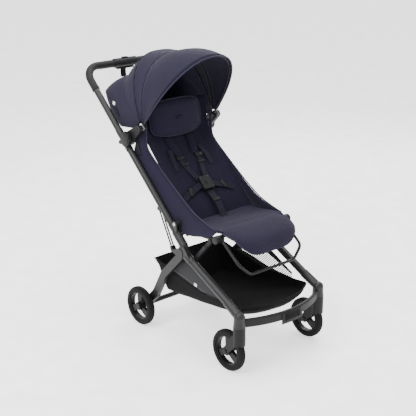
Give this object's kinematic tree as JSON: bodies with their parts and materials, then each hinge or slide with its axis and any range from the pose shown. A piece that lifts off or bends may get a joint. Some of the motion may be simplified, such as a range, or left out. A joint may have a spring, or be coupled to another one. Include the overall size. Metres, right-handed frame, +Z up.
{
  "type": "baby stroller",
  "caption": "Compact folding baby stroller with a deep fabric hood, reclining padded seat, harness, leg rest, under-seat basket and swivelling front wheels.",
  "frame": {"origin": "on the floor, in the middle of the footprint's bounding box", "axes": "+Z up, the front of the stroller faces -Y, the rider's left is +X"},
  "size_m": [0.456, 0.9961, 1.0929],
  "materials": {
    "basket_fabric": "coated weave",
    "black_plastic": "fine grained",
    "dark_fabric": "plain weave",
    "dark_metal": "satin black",
    "frame_metal": "satin black powder coat",
    "grip_cover": "soft stitched cover",
    "mesh_fabric": "open net",
    "navy_fabric": "heathered weave",
    "pin_steel": "zinc plated",
    "rim_plastic": "satin moulded",
    "tyre_foam": "matte foam tyre",
    "webbing": "woven tape"
  },
  "bodies": {
    "front_frame": {"apex_casting_left": "frame_metal", "apex_casting_right": "frame_metal", "front_leg_left": "frame_metal", "front_leg_right": "frame_metal", "front_casting_left": "frame_metal", "front_casting_right": "frame_metal", "seat_rail_left": "black_plastic", "seat_rail_right": "black_plastic", "front_bumper": "black_plastic", "bumper_plate": "black_plastic", "seat_cross_tubes": "dark_metal", "seat_pan": "navy_fabric", "seat_sides": "navy_fabric", "basket_tub": "basket_fabric", "basket_mesh": "mesh_fabric", "fold_pins": "pin_steel", "apex_pins": "pin_steel", "crotch_strap": "webbing", "buckle": "black_plastic"},
    "buckle_button": {"buckle_button": "black_plastic"},
    "rear_frame": {"rear_leg_left": "frame_metal", "rear_leg_right": "frame_metal", "rear_foot_left": "black_plastic", "rear_foot_right": "black_plastic", "rear_axle": "dark_metal"},
    "brake": {"brake_pedal": "black_plastic"},
    "main_frame": {"main_tube_left": "frame_metal", "main_tube_right": "frame_metal", "hub_housings": "black_plastic", "back_cross_tube": "dark_metal", "stay_rods": "dark_metal", "rear_bow": "dark_metal", "rear_panel": "navy_fabric"},
    "handle": {"handle_tube": "frame_metal", "handle_sleeves": "frame_metal", "handle_grip": "grip_cover", "fold_module": "black_plastic", "carry_strap": "webbing"},
    "fold_button": {"fold_button": "black_plastic"},
    "squeeze_trigger": {"squeeze_trigger": "black_plastic"},
    "back": {"back_shell": "dark_fabric", "headrest": "navy_fabric", "shoulder_pads": "dark_fabric", "harness_straps": "webbing"},
    "leg_rest": {"leg_rest_loop": "dark_metal", "leg_rest_pad": "navy_fabric"},
    "visor": {"visor_bow": "dark_metal", "visor_panel": "navy_fabric"},
    "mid_hood": {"mid_bow": "dark_metal", "mid_panel": "navy_fabric"},
    "caster_left": {"caster_fork_left": "black_plastic"},
    "caster_right": {"caster_fork_right": "black_plastic"},
    "front_wheel_left": {"front_tyre_left": "tyre_foam", "front_rim_left": "rim_plastic"},
    "front_wheel_right": {"front_tyre_right": "tyre_foam", "front_rim_right": "rim_plastic"},
    "rear_wheel_left": {"rear_tyre_left": "tyre_foam", "rear_rim_left": "rim_plastic"},
    "rear_wheel_right": {"rear_tyre_right": "tyre_foam", "rear_rim_right": "rim_plastic"}
  },
  "joints": [
    {"name": "main_fold", "type": "hinge", "parent": "front_frame", "child": "main_frame", "pos_m": [0, -0.08427, 0.48087], "axis": [1, 0, 0], "range_deg": [0, 150], "deforming": ["seat_pan", "seat_sides", "basket_tub", "basket_mesh", "crotch_strap", "back_shell", "headrest", "shoulder_pads", "harness_straps", "leg_rest_pad", "rear_panel", "mid_panel", "visor_panel", "rear_bow", "mid_bow", "visor_bow", "carry_strap"]},
    {"name": "rear_leg_fold", "type": "hinge", "parent": "front_frame", "child": "rear_frame", "pos_m": [0, -0.11226, 0.3735], "axis": [1, 0, 0], "range_deg": [-52, 0]},
    {"name": "handle_fold", "type": "hinge", "parent": "main_frame", "child": "handle", "pos_m": [0, 0.2391, 0.72864], "axis": [1, 0, 0], "range_deg": [-165, 0]},
    {"name": "visor_pull", "type": "hinge", "parent": "main_frame", "child": "visor", "pos_m": [0, 0.13774, 0.796], "axis": [1, 0, 0], "range_deg": [-50, 0]},
    {"name": "mid_bow_follow", "type": "hinge", "parent": "main_frame", "child": "mid_hood", "pos_m": [0, 0.13774, 0.796], "axis": [1, 0, 0], "range_deg": [-15, 0]},
    {"name": "back_recline", "type": "hinge", "parent": "main_frame", "child": "back", "pos_m": [0, -0.11226, 0.442], "axis": [1, 0, 0], "range_deg": [-20, 0]},
    {"name": "leg_rest_lift", "type": "hinge", "parent": "front_frame", "child": "leg_rest", "pos_m": [0, -0.28026, 0.466], "axis": [1, 0, 0], "range_deg": [-45, 0]},
    {"name": "brake_press", "type": "hinge", "parent": "rear_frame", "child": "brake", "pos_m": [0.123, 0.13374, 0.078], "axis": [1, 0, 0], "range_deg": [-18, 0]},
    {"name": "fold_button_press", "type": "slide", "parent": "handle", "child": "fold_button", "axis": [0, 0, -1], "range_m": [0, 0.0013], "stiffness_N_per_m": 400},
    {"name": "trigger_squeeze", "type": "slide", "parent": "handle", "child": "squeeze_trigger", "axis": [0, 0, 1], "range_m": [0, 0.0024], "stiffness_N_per_m": 500, "springref_m": -0.001},
    {"name": "buckle_button_press", "type": "slide", "parent": "front_frame", "child": "buckle_button", "axis": [0, 0.7181, -0.6959], "range_m": [0, 0.0015], "stiffness_N_per_m": 400},
    {"name": "caster_swivel_left", "type": "hinge", "parent": "front_frame", "child": "caster_left", "pos_m": [0.205, -0.42926, 0.188], "axis": [0, 0, 1], "continuous": true},
    {"name": "front_wheel_spin_left", "type": "hinge", "parent": "caster_left", "child": "front_wheel_left", "pos_m": [0.205, -0.37626, 0.078], "axis": [1, 0, 0], "continuous": true},
    {"name": "rear_wheel_spin_left", "type": "hinge", "parent": "rear_frame", "child": "rear_wheel_left", "pos_m": [0.211, 0.13374, 0.078], "axis": [1, 0, 0], "continuous": true},
    {"name": "caster_swivel_right", "type": "hinge", "parent": "front_frame", "child": "caster_right", "pos_m": [-0.205, -0.42926, 0.188], "axis": [0, 0, 1], "continuous": true},
    {"name": "front_wheel_spin_right", "type": "hinge", "parent": "caster_right", "child": "front_wheel_right", "pos_m": [-0.205, -0.37626, 0.078], "axis": [1, 0, 0], "continuous": true},
    {"name": "rear_wheel_spin_right", "type": "hinge", "parent": "rear_frame", "child": "rear_wheel_right", "pos_m": [-0.211, 0.13374, 0.078], "axis": [1, 0, 0], "continuous": true}
  ],
  "couplings": [
    {"joint": "rear_leg_fold", "follows": "main_fold", "ratio": -0.34667},
    {"joint": "handle_fold", "follows": "main_fold", "ratio": -1.1},
    {"joint": "mid_bow_follow", "follows": "visor_pull", "ratio": 0.3}
  ]
}
